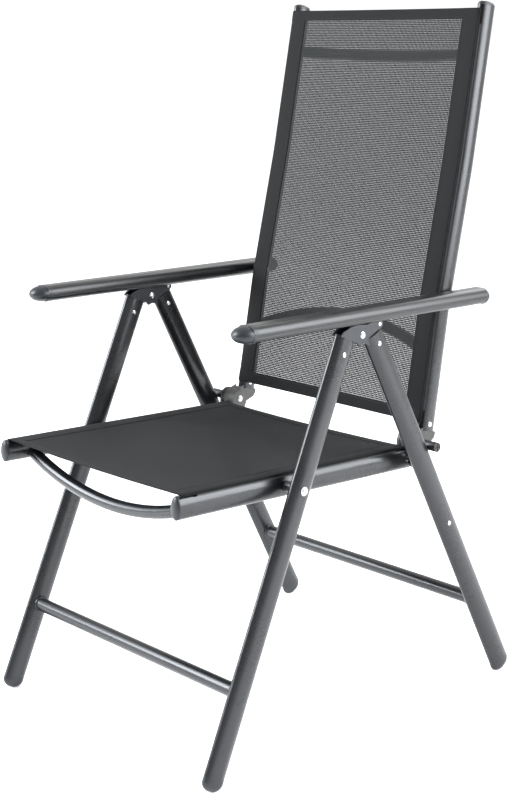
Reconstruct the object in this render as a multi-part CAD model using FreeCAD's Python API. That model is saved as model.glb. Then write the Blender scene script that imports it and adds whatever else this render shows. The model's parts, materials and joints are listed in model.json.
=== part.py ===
"""High-back folding garden armchair: oval aluminium tube, mesh seat and back, notched armrests.

Millimetres, +Z up, the chair faces -Y. The origin is on the floor under the middle of the chair's
bounding box. "left" is the sitter's left, on the +X side. Every pivot axis is parallel to X, so
the mechanism is laid out as (y, z) points in the side plane.
"""
import FreeCAD, Part
import math
import os

V = FreeCAD.Vector

# ---------------------------------------------------------------- driving dimensions
SHIFT_Y = -19.03          # puts the bounding box's middle on y = 0
LEG_PIVOT_Z = 612.0       # height of the pivot that joins front and rear legs
FRONT_LEAN = 24.68        # front legs lean back going up, degrees from vertical
REAR_LEAN = -26.04        # rear legs lean forward going up
SEAT_SLOPE = 2.45         # the seat falls to the rear, degrees
ARM_SLOPE = 1.2           # the armrests rise to the front, degrees

LEG_X = 253.0             # middle of the leg layer
RAIL_X = 215.0            # middle of the seat and back rail layer
ARM_X = 250.0             # middle of the armrests
LEG_DEPTH, LEG_WIDTH = 38.0, 20.0
RAIL_DEPTH, RAIL_WIDTH = 35.0, 20.0
WALL = 1.5
BAR_RADIUS = 11.0         # leg crossbars
BOW_RADIUS = 10.0         # bowed tubes under the seat and behind the back
FIT = 0.08                # radial running fit of pins in bores
SKIN = 0.15               # play round a plug in its tube
CHEEK = 3.0               # wall of the leg bracket
CAP_COLLAR = 6.0          # straight part of a foot cap
BORE_SPAN = 600.0         # longer than the chair is wide, for bores along X
SLOT_OFFSET = 3.5         # the keder slot sits outboard of the rail's crown
KEDER_RADIUS = 2.6
CHANNEL_RADIUS = 3.2
FABRIC = 1.2

# ---------------------------------------------------------------- side-plane layout


def unit(lean):
    """Unit vector (y, z) that leans to the rear by `lean` degrees from vertical."""
    a = math.radians(lean)
    return (math.sin(a), math.cos(a))


def along(p, d, distance):
    return (p[0] + d[0] * distance, p[1] + d[1] * distance)


def rear_normal(d):
    """The side-plane normal of d on its rear (or lower) side."""
    return (d[1], -d[0])


def at_height(p, d, z):
    return along(p, d, (z - p[1]) / d[1])


C = (SHIFT_Y, LEG_PIVOT_Z)                                # leg pivot
NOTCH_PIN = (C[0] + 36.3, C[1] + 11.5)
FRONT_UP, REAR_UP = unit(FRONT_LEAN), unit(REAR_LEAN)
FRONT_OFFSET, REAR_OFFSET = 25.5, 23.6                    # leg axes from the pivot
FRONT_AXIS = along(C, rear_normal(FRONT_UP), -FRONT_OFFSET)
REAR_AXIS = along(C, rear_normal(REAR_UP), REAR_OFFSET)
FOOT_CENTRE_Z = 14.4
FOOT_TIP = 14.0                                           # dome of a foot beyond its centre
FRONT_FOOT = at_height(FRONT_AXIS, FRONT_UP, FOOT_CENTRE_Z)
REAR_FOOT = at_height(REAR_AXIS, REAR_UP, FOOT_CENTRE_Z + 0.2)
FRONT_TOP = along(FRONT_AXIS, FRONT_UP, -15.5)
REAR_TOP = along(REAR_AXIS, REAR_UP, -15.5)
FRONT_BAR = at_height(FRONT_AXIS, FRONT_UP, 129.6)
REAR_BAR = at_height(REAR_AXIS, REAR_UP, 135.3)
BUFFER = at_height(REAR_AXIS, REAR_UP, 281.3)
FRONT_RIVET = at_height(FRONT_AXIS, FRONT_UP, 588.0)
REAR_RIVET = at_height(REAR_AXIS, REAR_UP, 593.8)
SEAT_PIVOT = at_height(FRONT_AXIS, FRONT_UP, 400.5)       # bolt through front leg and seat rail

SEAT_REAR = (math.cos(math.radians(SEAT_SLOPE)), -math.sin(math.radians(SEAT_SLOPE)))
SEAT_UP = (-SEAT_REAR[1], SEAT_REAR[0])
RAIL_FRONT = along(SEAT_PIVOT, SEAT_REAR, -198.0)
RAIL_REAR = along(SEAT_PIVOT, SEAT_REAR, 270.0)
BOW_FRONT = along(RAIL_FRONT, SEAT_REAR, 46.0)
BOW_REAR = along(RAIL_FRONT, SEAT_REAR, 420.0)
HINGE = (SEAT_PIVOT[0] + 279.4, 412.0)                    # seat and back hinge

BACK_LEANS = (11.7, 14.6, 12.5)                           # lower, middle and upper run of a back tube
BACK_BEND_Z = (620.0, 840.0)
BACK_BEND_RADIUS = 500.0
BACK_FOOT = (HINGE[0] + 29.8, 424.0)
BACK_TOP_Z = 1091.0
BACK_LOW_BEND = at_height(BACK_FOOT, unit(BACK_LEANS[0]), BACK_BEND_Z[0])
BACK_HIGH_BEND = at_height(BACK_LOW_BEND, unit(BACK_LEANS[1]), BACK_BEND_Z[1])
BACK_TOP = at_height(BACK_HIGH_BEND, unit(BACK_LEANS[2]), BACK_TOP_Z)
ARM_PIVOT = at_height(BACK_LOW_BEND, unit(BACK_LEANS[1]), 634.5)

ARM_WIDTH, ARM_HEIGHT = 38.0, 25.6
ARM_ROUND = 12.0
ARM_WALL = 2.0
ARM_FRONT, ARM_REAR = 440.0, 46.0                         # profile ends from the arm pivot
ARM_NOSE, ARM_TAIL = 30.0, 13.0                           # domes of the end caps
CHANNEL_WIDTH = 22.8
RACK_WIDTH = 12.6
RACK_ENDS = (110.0, 332.0)
RACK_STOP = (176.0, 187.0)                                # block behind the first notch
RACK_TEETH = (252.0, 332.0)
RACK_TIP = -11.4
NOTCH_PITCH = 16.0


# ---------------------------------------------------------------- shape helpers
def at(x, p):
    return V(x, p[0], p[1])


def oval_face(x, p, d, depth, width):
    """Elliptical section across direction d: depth in the side plane, width along X."""
    n = rear_normal(d)
    centre = at(x, p)
    deep = V(0, n[0], n[1]) * (depth / 2)
    wide = V(width / 2, 0, 0)
    if depth >= width:
        curve = Part.Ellipse(centre + deep, centre + wide, centre)
    else:
        curve = Part.Ellipse(centre + wide, centre + deep, centre)
    return Part.Face(Part.Wire([curve.toShape()]))


def vector(p, q):
    return V(0, q[0] - p[0], q[1] - p[1])


def oval_bar(x, p, q, depth, width):
    length = math.hypot(q[0] - p[0], q[1] - p[1])
    d = ((q[0] - p[0]) / length, (q[1] - p[1]) / length)
    return oval_face(x, p, d, depth, width).extrude(vector(p, q))


def oval_tube(x, p, q, depth, width):
    outside = oval_bar(x, p, q, depth, width)
    return outside.cut(oval_bar(x, p, q, depth - 2 * WALL, width - 2 * WALL))


def rod(x0, x1, p, radius):
    """Cylinder along X."""
    return Part.makeCylinder(radius, x1 - x0, at(x0, p), V(1, 0, 0))


def bored(shape, p, radius):
    return shape.cut(rod(-BORE_SPAN / 2, BORE_SPAN / 2, p, radius))


def dome_arc(x, p, side, radius, rise):
    """Arc from the rim of a low spherical head at x to its apex, in the plane z = p[1]."""
    ball = (radius ** 2 + rise ** 2) / (2 * rise)
    half = math.asin(radius / ball) / 2
    middle = x + side * (rise - ball + ball * math.cos(half))
    return Part.Arc(V(x, p[0] + radius, p[1]), V(middle, p[0] + ball * math.sin(half), p[1]),
                    V(x + side * rise, p[0], p[1])).toShape()


def headed_pin(x0, x1, p, radius, low_head=None, high_head=None):
    """Turned pin along X; each head is (radius, rise) of a low dome, or None for a flat end."""
    edges, ends = [], []
    for x, side, head in ((x0, -1, low_head), (x1, 1, high_head)):
        rim = V(x, p[0] + radius, p[1])
        if head:
            edges.append(dome_arc(x, p, side, *head))
            edges.append(Part.LineSegment(V(x, p[0] + head[0], p[1]), rim).toShape())
            ends.append(V(x + side * head[1], p[0], p[1]))
        else:
            edges.append(Part.LineSegment(at(x, p), rim).toShape())
            ends.append(at(x, p))
    edges.append(Part.LineSegment(V(x0, p[0] + radius, p[1]), V(x1, p[0] + radius, p[1])).toShape())
    edges.append(Part.LineSegment(*ends).toShape())
    face = Part.Face(Part.Wire(Part.__sortEdges__(edges)))
    return face.revolve(at(x0, p), V(1, 0, 0), 360)


def dome(x, p, side, radius, rise):
    """Low spherical head on a face at x, towards side = +1 or -1 along X."""
    edges = [dome_arc(x, p, side, radius, rise),
             Part.LineSegment(at(x, p), V(x, p[0] + radius, p[1])).toShape(),
             Part.LineSegment(at(x, p), V(x + side * rise, p[0], p[1])).toShape()]
    return Part.Face(Part.Wire(Part.__sortEdges__(edges))).revolve(at(x, p), V(1, 0, 0), 360)


def rivet(x0, x1, p, radius, head_radius, rise):
    return headed_pin(x0, x1, p, radius, (head_radius, rise), (head_radius, rise))


def oval_dome(x, p, d, depth, width, rise):
    """Half ellipsoid that closes an oval tube; d points out of the tube."""
    ball = Part.makeSphere(1.0)
    squash = FreeCAD.Matrix()
    squash.scale(width / 2, depth / 2, rise)
    ball = ball.transformGeometry(squash)
    lean = math.degrees(math.atan2(d[0], d[1]))
    ball.rotate(V(0, 0, 0), V(1, 0, 0), -lean)
    ball.translate(at(x, p))
    half = oval_face(x, p, d, depth * 1.2, width * 1.2).extrude(V(0, d[0], d[1]) * rise * 1.2)
    return ball.common(half)


def plate(x0, x1, outline):
    """Flat plate between x0 and x1 from edges that lie in the side plane x = 0."""
    face = Part.Face(Part.Wire(Part.__sortEdges__(outline)))
    face.translate(V(x0, 0, 0))
    return face.extrude(V(x1 - x0, 0, 0))


def polygon(points):
    ring = [at(0, p) for p in points]
    return [Part.LineSegment(a, b).toShape() for a, b in zip(ring, ring[1:] + ring[:1])]


def capsule(x0, x1, p, q, radius_p, radius_q):
    """Solid link: two discs joined by their outer tangents."""
    span = math.hypot(q[0] - p[0], q[1] - p[1])
    base = math.atan2(q[1] - p[1], q[0] - p[0])
    swing = math.acos((radius_p - radius_q) / span)
    corners = []
    for centre, radius, sign in ((p, radius_p, 1), (q, radius_q, 1), (q, radius_q, -1), (p, radius_p, -1)):
        a = base + sign * swing
        corners.append((centre[0] + radius * math.cos(a), centre[1] + radius * math.sin(a)))
    body = plate(x0, x1, polygon(corners))
    return body.fuse([rod(x0, x1, p, radius_p), rod(x0, x1, q, radius_q)])


def mirrored(shape):
    return shape.mirror(V(0, 0, 0), V(1, 0, 0))


def pair(shape):
    """The left and right copies as one node of separate solids."""
    return Part.makeCompound([shape, mirrored(shape)])


def save(name, shape):
    solid = shape.removeSplitter() if shape.ShapeType != "Compound" else shape
    solid.exportStep(os.path.join("parts", name + ".step"))


def save_sides(name, shape):
    shape = shape.removeSplitter()
    save(name + "_left", shape)
    save(name + "_right", mirrored(shape))


# ---------------------------------------------------------------- legs
def leg(foot, up, top, holes):
    start = along(foot, up, CAP_COLLAR)
    tube = oval_tube(LEG_X, start, top, LEG_DEPTH, LEG_WIDTH)
    for p, radius in holes:
        tube = bored(tube, p, radius)
    return tube


def foot_cap(foot, up):
    """Domed plastic cap with a small flat where it stands, and a plug up the leg."""
    down = (-up[0], -up[1])
    collar = oval_bar(LEG_X, foot, along(foot, up, CAP_COLLAR), LEG_DEPTH, LEG_WIDTH)
    plug_depth, plug_width = LEG_DEPTH - 2 * WALL - 2 * SKIN, LEG_WIDTH - 2 * WALL - 2 * SKIN
    plug = oval_bar(LEG_X, along(foot, up, CAP_COLLAR), along(foot, up, 30.0), plug_depth, plug_width)
    cap = collar.fuse([oval_dome(LEG_X, foot, down, LEG_DEPTH, LEG_WIDTH, FOOT_TIP), plug])
    below = Part.makeBox(60, 80, 40, V(LEG_X - 30, foot[0] - 40, -40))
    return cap.cut(below)


def crossbar(p, foot, up):
    """Round bar between the legs with a weld bead at each end, coped to the legs."""
    half = LEG_X - LEG_WIDTH / 2 + 6.0
    bar = rod(-half, half, p, BAR_RADIUS)
    bead = rod(LEG_X - 12.5, LEG_X - 8.0, p, BAR_RADIUS + 2.0)
    bead = bead.makeFillet(1.8, [bead.Edges[0], bead.Edges[2]])
    bar = bar.fuse([bead, mirrored(bead)])
    solid_leg = oval_bar(LEG_X, along(foot, up, CAP_COLLAR), along(p, up, 60.0), LEG_DEPTH, LEG_WIDTH)
    return bar.cut(solid_leg).cut(mirrored(solid_leg))


def bracket_outline():
    """Cheek of the leg bracket: over the front leg's top, round the pivot, out to the notch pin."""
    def q(dy, dz):
        return (C[0] + dy, C[1] + dz)
    tip = 6.2
    arm = (math.cos(math.radians(17.6)), math.sin(math.radians(17.6)))
    side = (-arm[1], arm[0])
    tip_top, tip_end, tip_low = (along(NOTCH_PIN, side, tip), along(NOTCH_PIN, arm, tip),
                                 along(NOTCH_PIN, side, -tip))
    lines = [tip_low, q(13, -4.5), q(7, -9.8), q(0, -13.2), q(-8, -15.6), q(-12.8, -10.4),
             q(-46.0, 4.9), q(-40, 10.0), q(-24, 15.5), q(-8, 16.5), q(8, 14.5), q(22, 17.0), tip_top]
    edges = [Part.LineSegment(at(0, a), at(0, b)).toShape() for a, b in zip(lines, lines[1:])]
    edges.append(Part.Arc(at(0, tip_top), at(0, tip_end), at(0, tip_low)).toShape())
    return edges


def leg_bracket():
    """Cast bracket: plug and collar on the front leg, two cheeks with a slot between them."""
    outline = bracket_outline()
    outer, inner = LEG_X + LEG_WIDTH / 2, LEG_X - LEG_WIDTH / 2
    cheeks = plate(inner, inner + CHEEK, outline).fuse(plate(outer - CHEEK, outer, outline))
    plug_depth, plug_width = LEG_DEPTH - 2 * WALL - 2 * SKIN, LEG_WIDTH - 2 * WALL - 2 * SKIN
    plug = oval_bar(LEG_X, along(FRONT_TOP, FRONT_UP, -34.0), FRONT_TOP, plug_depth, plug_width)
    collar = oval_bar(LEG_X, FRONT_TOP, along(FRONT_TOP, FRONT_UP, 3.0), LEG_DEPTH, LEG_WIDTH)
    body = cheeks.fuse([plug, collar])
    below_top = oval_bar(LEG_X, along(FRONT_TOP, FRONT_UP, -40.0), FRONT_TOP, LEG_DEPTH + 6, LEG_WIDTH + 9)
    keep = plug.fuse(body.cut(below_top))
    keep = bored(keep, FRONT_RIVET, 2.0)
    keep = bored(keep, C, 3.0 + FIT)
    return bored(keep, NOTCH_PIN, 3.0)


def rear_insert():
    """Plug and collar on the rear leg with a tongue that reaches the leg pivot."""
    half = (LEG_WIDTH - 2 * CHEEK - 0.8) / 2
    plug_depth, plug_width = LEG_DEPTH - 2 * WALL - 2 * SKIN, LEG_WIDTH - 2 * WALL - 2 * SKIN
    plug = oval_bar(LEG_X, along(REAR_TOP, REAR_UP, -34.0), REAR_TOP, plug_depth, plug_width)
    collar = oval_bar(LEG_X, REAR_TOP, along(REAR_TOP, REAR_UP, 1.5), LEG_DEPTH, LEG_WIDTH)
    root = along(along(REAR_TOP, REAR_UP, -4.0), rear_normal(REAR_UP), -5.0)
    tongue = capsule(LEG_X - half, LEG_X + half, C, root, 12.0, 11.0)
    below_top = oval_bar(LEG_X, along(REAR_TOP, REAR_UP, -40.0), REAR_TOP, LEG_DEPTH + 2, LEG_WIDTH + 2)
    body = collar.fuse([tongue.cut(below_top), plug])
    body = bored(body, REAR_RIVET, 2.0)
    return bored(body, C, 3.0 + FIT)


def seat_pivot_bolt():
    """Cross-head bolt through leg and spacer; it meets the seat's barrel nut face to face."""
    face, end = LEG_X + LEG_WIDTH / 2, RAIL_X + RAIL_WIDTH / 2 + 0.4
    shank = rod(end, face + 0.6, SEAT_PIVOT, 3.0)
    washer = rod(face, face + 0.8, SEAT_PIVOT, 6.6)
    head = dome(face + 0.8, SEAT_PIVOT, 1, 5.4, 2.6)
    arm_a = Part.makeBox(3, 5.0, 1.2, V(face + 2.4, SEAT_PIVOT[0] - 2.5, SEAT_PIVOT[1] - 0.6))
    arm_b = Part.makeBox(3, 1.2, 5.0, V(face + 2.4, SEAT_PIVOT[0] - 0.6, SEAT_PIVOT[1] - 2.5))
    return shank.fuse([washer, head.cut(arm_a).cut(arm_b)])


def seat_pivot_nut():
    """Barrel nut through the seat rail with a hexagon head on the rail's inner face."""
    face = RAIL_X - RAIL_WIDTH / 2
    corners = [(SEAT_PIVOT[0] + 5.8 * math.cos(math.radians(60 * k)),
                SEAT_PIVOT[1] + 5.8 * math.sin(math.radians(60 * k))) for k in range(6)]
    return plate(face - 5.0, face, polygon(corners)).fuse(rod(face, face + RAIL_WIDTH, SEAT_PIVOT, 3.0))


def seat_pivot_spacer():
    sleeve = rod(RAIL_X + RAIL_WIDTH / 2 + 0.4, LEG_X - LEG_WIDTH / 2, SEAT_PIVOT, 8.0)
    return bored(sleeve, SEAT_PIVOT, 3.0)


def buffer():
    """Rubber disc on the rear leg's inner face that the folded seat rests against."""
    face = LEG_X - LEG_WIDTH / 2
    pad = rod(face - 7.0, face, BUFFER, 8.0)
    pad = pad.makeFillet(2.0, [pad.Edges[2]])
    return bored(pad, BUFFER, 2.0)


# ---------------------------------------------------------------- keder rails
def run_of(points, radius):
    """Wire through side-plane points with each inner corner rounded."""
    edges, start = [], points[0]
    for before, corner, after in zip(points, points[1:], points[2:]):
        a = V(0, corner[0] - before[0], corner[1] - before[1]).normalize()
        b = V(0, after[0] - corner[0], after[1] - corner[1]).normalize()
        half = a.getAngle(b) / 2
        reach = radius * math.tan(half)
        first = along(corner, (a.y, a.z), -reach)
        last = along(corner, (b.y, b.z), reach)
        inward = (b - a).normalize()
        sag = radius / math.cos(half) - radius
        middle = along(corner, (inward.y, inward.z), sag)
        edges.append(Part.LineSegment(at(0, start), at(0, first)).toShape())
        edges.append(Part.Arc(at(0, first), at(0, middle), at(0, last)).toShape())
        start = last
    edges.append(Part.LineSegment(at(0, start), at(0, points[-1])).toShape())
    return Part.Wire(edges)


def swept(path, face):
    return path.makePipeShell([face.OuterWire], True, False)


def round_face(x, p, d, radius):
    return Part.Face(Part.Wire([Part.Circle(at(x, p), V(0, d[0], d[1]), radius).toShape()]))


def slot_face(x, p, outward, width, height):
    """Rectangle across the rail, from p outward."""
    o = V(0, outward[0], outward[1])
    w = V(width / 2, 0, 0)
    corners = [at(x, p) - w, at(x, p) + w, at(x, p) + w + o * height, at(x, p) - w + o * height]
    return Part.Face(Part.makePolygon(corners + corners[:1]))


def keder_rail(points, outward):
    """Oval tube with a keder channel and slot along its outward side."""
    path = run_of(points, BACK_BEND_RADIUS)
    p, q = points[0], points[1]
    length = math.hypot(q[0] - p[0], q[1] - p[1])
    d = ((q[0] - p[0]) / length, (q[1] - p[1]) / length)
    channel = along(p, outward, RAIL_DEPTH / 2 - 5.0)
    x = RAIL_X + SLOT_OFFSET
    outside = swept(path, oval_face(RAIL_X, p, d, RAIL_DEPTH, RAIL_WIDTH))
    inside = swept(path, oval_face(RAIL_X, p, d, RAIL_DEPTH - 2 * WALL, RAIL_WIDTH - 2 * WALL))
    wall = swept(path, round_face(x, channel, d, CHANNEL_RADIUS + WALL)).common(outside)
    slot = swept(path, slot_face(x, channel, outward, 2.2, 12.0))
    bore = swept(path, round_face(x, channel, d, CHANNEL_RADIUS))
    return outside.cut(inside).fuse(wall).cut(bore).cut(slot)


def keder(points, outward, trim):
    """Round cord that holds the mesh in the channel."""
    p, q = points[0], points[1]
    length = math.hypot(q[0] - p[0], q[1] - p[1])
    d = ((q[0] - p[0]) / length, (q[1] - p[1]) / length)
    route = [along(p, d, trim)] + points[1:]
    e, f = points[-2], points[-1]
    tail = math.hypot(f[0] - e[0], f[1] - e[1])
    route[-1] = along(f, ((e[0] - f[0]) / tail, (e[1] - f[1]) / tail), trim)
    centre = along(route[0], outward, RAIL_DEPTH / 2 - 5.0)
    return swept(run_of(route, BACK_BEND_RADIUS), round_face(RAIL_X + SLOT_OFFSET, centre, d, KEDER_RADIUS))


def rail_plug(p, d, reach, outward):
    """Plug that fills a rail's end, clear of its keder channel."""
    depth, width = RAIL_DEPTH - 2 * WALL - 2 * SKIN, RAIL_WIDTH - 2 * WALL - 2 * SKIN
    q = along(p, d, reach)
    plug = oval_bar(RAIL_X, p, q, depth, width)
    length = math.hypot(q[0] - p[0], q[1] - p[1])
    channel = along(p, outward, RAIL_DEPTH / 2 - 5.0)
    way = round_face(RAIL_X + SLOT_OFFSET, channel, d, CHANNEL_RADIUS + WALL + 0.2)
    return plug.cut(way.extrude(V(0, d[0], d[1]) * length))


def rail_cap(p, outward_end, side, rise):
    """Domed cap on a rail's end with its plug."""
    inward = (-outward_end[0], -outward_end[1])
    base = along(p, outward_end, 2.0)
    rim = oval_bar(RAIL_X, p, base, RAIL_DEPTH, RAIL_WIDTH)
    cap = oval_dome(RAIL_X, base, outward_end, RAIL_DEPTH - 1.0, RAIL_WIDTH - 1.0, rise)
    return rim.fuse([cap, rail_plug(p, inward, 22.0, side)])


def bow(x_end, p, d, depth):
    """Round tube that bows from rail to rail by `depth` along the side-plane direction d."""
    end_a, end_b = at(-x_end, p), at(x_end, p)
    middle = at(0, along(p, d, depth))
    path = Part.Wire([Part.Arc(end_a, middle, end_b).toShape()])
    tangent = path.Edges[0].tangentAt(path.Edges[0].FirstParameter)
    outer = Part.Wire([Part.Circle(end_a, tangent, BOW_RADIUS).toShape()])
    inner = Part.Wire([Part.Circle(end_a, tangent, BOW_RADIUS - WALL).toShape()])
    tube = path.makePipeShell([outer], True, False)
    return tube.cut(path.makePipeShell([inner], True, False))


# ---------------------------------------------------------------- seat
SEAT_LINE = [RAIL_FRONT, RAIL_REAR]
SEAT_RIVET = along(RAIL_REAR, SEAT_REAR, -11.5)
SEAT_MESH_FRONT, SEAT_MESH_REAR = 4.0, 10.0       # mesh ends from the rail ends
EAR_RADIUS, BOSS_RADIUS = 16.0, 15.2
BOSS_HALF = 11.6


def boss_room():
    """The space in which the back's boss turns between the seat's ears."""
    return rod(RAIL_X - BOSS_HALF - 0.4, RAIL_X + BOSS_HALF + 0.4, HINGE, BOSS_RADIUS + 0.5)


def seat_rail():
    """Keder rail, notched at its rear end for the back's boss."""
    rail = keder_rail(SEAT_LINE, SEAT_UP).cut(boss_room())
    rail = bored(rail, SEAT_PIVOT, 3.0)
    return bored(rail, SEAT_RIVET, 3.0)


def seat_bow(p, depth):
    tube = bow(RAIL_X, along(p, SEAT_UP, -4.0), (-SEAT_UP[0], -SEAT_UP[1]), depth)
    rail = oval_bar(RAIL_X, RAIL_FRONT, RAIL_REAR, RAIL_DEPTH, RAIL_WIDTH)
    return tube.cut(rail).cut(mirrored(rail))


def mesh_panel(points, outward, rise):
    """Stretched sheet over the rails' crowns with a tab down into each slot."""
    path = run_of(points, BACK_BEND_RADIUS)
    base = along(points[0], outward, RAIL_DEPTH / 2 + rise)
    half = RAIL_X + SLOT_OFFSET + FABRIC / 2
    o = V(0, outward[0], outward[1])
    corners = [at(-half, base), at(half, base), at(half, base) + o * FABRIC, at(-half, base) + o * FABRIC]
    panel = swept(path, Part.Face(Part.makePolygon(corners + corners[:1])))
    tab_foot = along(points[0], outward, RAIL_DEPTH / 2 - 5.0 + KEDER_RADIUS + 0.1)
    height = 5.0 - KEDER_RADIUS - 0.1 + rise + FABRIC / 2
    tab = swept(path, slot_face(RAIL_X + SLOT_OFFSET, tab_foot, outward, FABRIC, height))
    return panel.fuse([tab, mirrored(tab)])


def seat_mesh():
    a = along(RAIL_FRONT, SEAT_REAR, SEAT_MESH_FRONT)
    b = along(RAIL_REAR, SEAT_REAR, -SEAT_MESH_REAR)
    return mesh_panel([a, b], SEAT_UP, 0.35)


def seat_hinge_insert():
    """Plug in the seat rail and two ears that carry the hinge."""
    block_low = along(RAIL_REAR, SEAT_UP, -15.5)
    ears = []
    for x0 in (RAIL_X - BOSS_HALF - 6.4, RAIL_X + BOSS_HALF + 0.4):
        ears.append(capsule(x0, x0 + 6.0, HINGE, (RAIL_REAR[0] + 3.0, RAIL_REAR[1] - 4.0), EAR_RADIUS, 11.0))
    inner, outer = RAIL_X - BOSS_HALF - 6.4, RAIL_X + BOSS_HALF + 6.4
    block = plate(inner, outer, polygon([
        (RAIL_REAR[0] + 0.2, block_low[1]), (RAIL_REAR[0] + 9.0, block_low[1] + 3.0),
        (RAIL_REAR[0] + 12.0, 384.0), (RAIL_REAR[0] + 11.0, 390.5), (RAIL_REAR[0] + 0.2, 390.5)]))
    body = block.fuse(ears).fuse(rail_plug(RAIL_REAR, (-SEAT_REAR[0], -SEAT_REAR[1]), 30.0, SEAT_UP))
    rail = oval_bar(RAIL_X, RAIL_FRONT, RAIL_REAR, RAIL_DEPTH + 0.6, RAIL_WIDTH + 0.6)
    rail = rail.cut(oval_bar(RAIL_X, RAIL_FRONT, RAIL_REAR, RAIL_DEPTH - 2 * WALL, RAIL_WIDTH - 2 * WALL))
    body = body.cut(rail).cut(boss_room())
    body = bored(body, SEAT_RIVET, 3.0)
    return bored(body, HINGE, 4.0 + FIT)


def tube_rivet():
    """Hollow rivet through the seat rail's rear end."""
    face = RAIL_X + RAIL_WIDTH / 2
    body = rivet(RAIL_X - RAIL_WIDTH / 2, face, SEAT_RIVET, 3.0, 4.6, 1.2)
    return body.cut(rod(RAIL_X, face + 3.0, SEAT_RIVET, 1.8))


# ---------------------------------------------------------------- hinge
ROLLER_START = RAIL_X + BOSS_HALF + 6.8
ROLLER_END = LEG_X + LEG_WIDTH / 2 + 6.0
ROLLER_RADIUS = 7.5


def hinge_pin():
    """Steel pin with a domed head on the inner ear."""
    start = RAIL_X - BOSS_HALF - 6.8
    return headed_pin(start, ROLLER_END - 2.0, HINGE, 4.0, (5.6, 2.2))


def hinge_roller():
    """Black sleeve on the pin that bears on the back of the rear leg, grooved on its end."""
    sleeve = rod(ROLLER_START, ROLLER_END, HINGE, ROLLER_RADIUS)
    collar = rod(ROLLER_START, ROLLER_START + 3.0, HINGE, ROLLER_RADIUS + 1.2)
    sleeve = sleeve.fuse(collar)
    groove_a = Part.makeBox(2, 11.0, 1.6, V(ROLLER_END - 1.2, HINGE[0] - 5.5, HINGE[1] - 0.8))
    groove_b = Part.makeBox(2, 1.6, 11.0, V(ROLLER_END - 1.2, HINGE[0] - 0.8, HINGE[1] - 5.5))
    sleeve = sleeve.cut(groove_a).cut(groove_b)
    return sleeve.cut(rod(ROLLER_START - 1, ROLLER_END - 1.6, HINGE, 4.0 + FIT))


# ---------------------------------------------------------------- back
BACK_LINE = [BACK_FOOT, BACK_LOW_BEND, BACK_HIGH_BEND, BACK_TOP]
BACK_DOWN = tuple(-c for c in unit(BACK_LEANS[0]))
BACK_FRONT = tuple(-c for c in rear_normal(unit(BACK_LEANS[0])))
BACK_TOP_FRONT = tuple(-c for c in rear_normal(unit(BACK_LEANS[2])))
BACK_RIVET = along(BACK_FOOT, BACK_DOWN, -11.0)
UPPER_BOW = at_height(BACK_HIGH_BEND, unit(BACK_LEANS[2]), 1017.0)
LOWER_BOW = at_height(BACK_FOOT, unit(BACK_LEANS[0]), 532.0)
BACK_MESH_LOW, BACK_MESH_TOP = 12.0, 6.0


def back_tube():
    tube = keder_rail(BACK_LINE, BACK_FRONT)
    tube = bored(tube, BACK_RIVET, 2.2)
    return bored(tube, ARM_PIVOT, 3.0 + FIT)


def back_bow(p, lean, depth, lift):
    """Bowed tube behind the mesh, welded between the back tubes."""
    rear = rear_normal(unit(lean))
    d = (rear[0] * math.cos(lift) + unit(lean)[0] * math.sin(lift),
         rear[1] * math.cos(lift) + unit(lean)[1] * math.sin(lift))
    tube = bow(RAIL_X, along(p, rear, 4.0), d, depth)
    up = unit(lean)
    rail = oval_bar(RAIL_X, along(p, up, -60.0), along(p, up, 60.0), RAIL_DEPTH, RAIL_WIDTH)
    return tube.cut(rail).cut(mirrored(rail))


def back_mesh():
    a = along(BACK_FOOT, BACK_DOWN, -BACK_MESH_LOW)
    b = along(BACK_TOP, unit(BACK_LEANS[2]), -BACK_MESH_TOP)
    return mesh_panel([a, BACK_LOW_BEND, BACK_HIGH_BEND, b], BACK_FRONT, 0.35)


def back_hinge_insert():
    """Plug in the back tube and a boss that turns between the seat's ears."""
    low = along(BACK_FOOT, BACK_DOWN, 3.0)
    boss = rod(RAIL_X - BOSS_HALF, RAIL_X + BOSS_HALF, HINGE, BOSS_RADIUS)
    neck = capsule(RAIL_X - RAIL_WIDTH / 2, RAIL_X + RAIL_WIDTH / 2, HINGE, low, BOSS_RADIUS, 14.5)
    rim = oval_bar(RAIL_X, along(BACK_FOOT, BACK_DOWN, 3.0), BACK_FOOT, RAIL_DEPTH, RAIL_WIDTH)
    inside = oval_bar(RAIL_X, BACK_FOOT, along(BACK_FOOT, BACK_DOWN, -60.0), RAIL_DEPTH + 8, RAIL_WIDTH + 8)
    body = boss.fuse([neck, rim]).cut(inside)
    body = body.fuse(rail_plug(BACK_FOOT, (-BACK_DOWN[0], -BACK_DOWN[1]), 30.0, BACK_FRONT))
    body = bored(body, BACK_RIVET, 2.2)
    return bored(body, HINGE, 4.0 + FIT)


# ---------------------------------------------------------------- armrests
def placed(shape):
    """From the armrest's own frame (pivot at the origin, front along -Y) to the chair."""
    shape.rotate(V(0, 0, 0), V(1, 0, 0), -ARM_SLOPE)
    shape.translate(at(0, ARM_PIVOT))
    return shape


def rounded_section(width, height, radius, y):
    """Rounded rectangle in the plane y, centred on the armrest's line."""
    box = Part.makeBox(width, 1.0, height, V(ARM_X - width / 2, y, -height / 2))
    long_edges = [e for e in box.Edges if abs(e.tangentAt(e.FirstParameter).y) > 0.9]
    box = box.makeFillet(radius, long_edges)
    faces = [f for f in box.Faces if abs(f.CenterOfMass.y - y) < 1e-6]
    return faces[0]


def arm_hollow():
    """The space inside the armrest's walls, a little longer than the profile."""
    section = rounded_section(ARM_WIDTH - 2 * ARM_WALL, ARM_HEIGHT - 2 * ARM_WALL, ARM_ROUND - ARM_WALL,
                              -ARM_FRONT - 1)
    return section.extrude(V(0, ARM_FRONT + ARM_REAR + 2, 0))


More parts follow.
